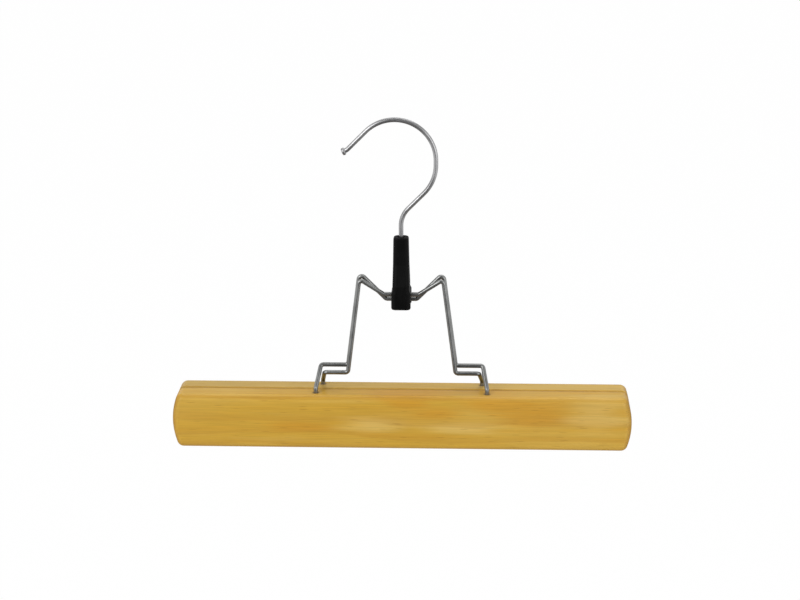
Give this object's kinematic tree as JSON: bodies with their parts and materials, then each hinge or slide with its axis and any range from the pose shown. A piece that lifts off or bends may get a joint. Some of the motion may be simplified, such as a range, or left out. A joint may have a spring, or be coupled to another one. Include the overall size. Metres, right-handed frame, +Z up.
{
  "type": "skirt hanger",
  "caption": "Clamping skirt hanger: wooden jaw bars on crossed wire frames, shut by a sliding sleeve below a swivelling rail hook.",
  "frame": {"origin": "the point inside the hook's crown that rests on the rail, straight above the stem", "axes": "+Z up along the stem, +X along the bars, -Y towards the viewer of the front bar"},
  "size_m": [0.25, 0.0282, 0.1813],
  "materials": {
    "hook_wire": "plated steel wire, lightly drawn",
    "frame_wire": "plated spring steel wire",
    "link_strip": "bent steel strip",
    "sleeve_plastic": "black moulded plastic, satin",
    "bar_wood": "pale wood under satin varnish",
    "felt": "thin pressed felt"
  },
  "bodies": {
    "hook": {"hook": "hook_wire"},
    "link": {"swivel_link": "link_strip"},
    "sleeve": {"lock_sleeve": "sleeve_plastic"},
    "front_jaw": {"front_wire_frame": "frame_wire", "front_bar": "bar_wood", "front_felt": "felt"},
    "rear_jaw": {"rear_wire_frame": "frame_wire", "rear_bar": "bar_wood", "rear_felt": "felt"}
  },
  "joints": [
    {"name": "hook_swivel", "type": "hinge", "parent": "hook", "child": "link", "pos_m": [0, 0, -0.0908], "axis": [0, 0, 1], "continuous": true},
    {"name": "front_jaw_pivot", "type": "hinge", "parent": "link", "child": "front_jaw", "pos_m": [0, 0.00135, -0.13492], "axis": [-1, 0, 0], "range_deg": [0, 3.8]},
    {"name": "rear_jaw_pivot", "type": "hinge", "parent": "link", "child": "rear_jaw", "pos_m": [0, 0.00135, -0.13492], "axis": [1, 0, 0], "range_deg": [0, 3.8]},
    {"name": "sleeve_slide", "type": "slide", "parent": "link", "child": "sleeve", "axis": [0, 0, 1], "range_m": [0, 0.0036]}
  ],
  "couplings": [
    {"joint": "rear_jaw_pivot", "follows": "front_jaw_pivot", "ratio": 1},
    {"joint": "sleeve_slide", "follows": "front_jaw_pivot", "m_per_rad": 0.0542}
  ]
}
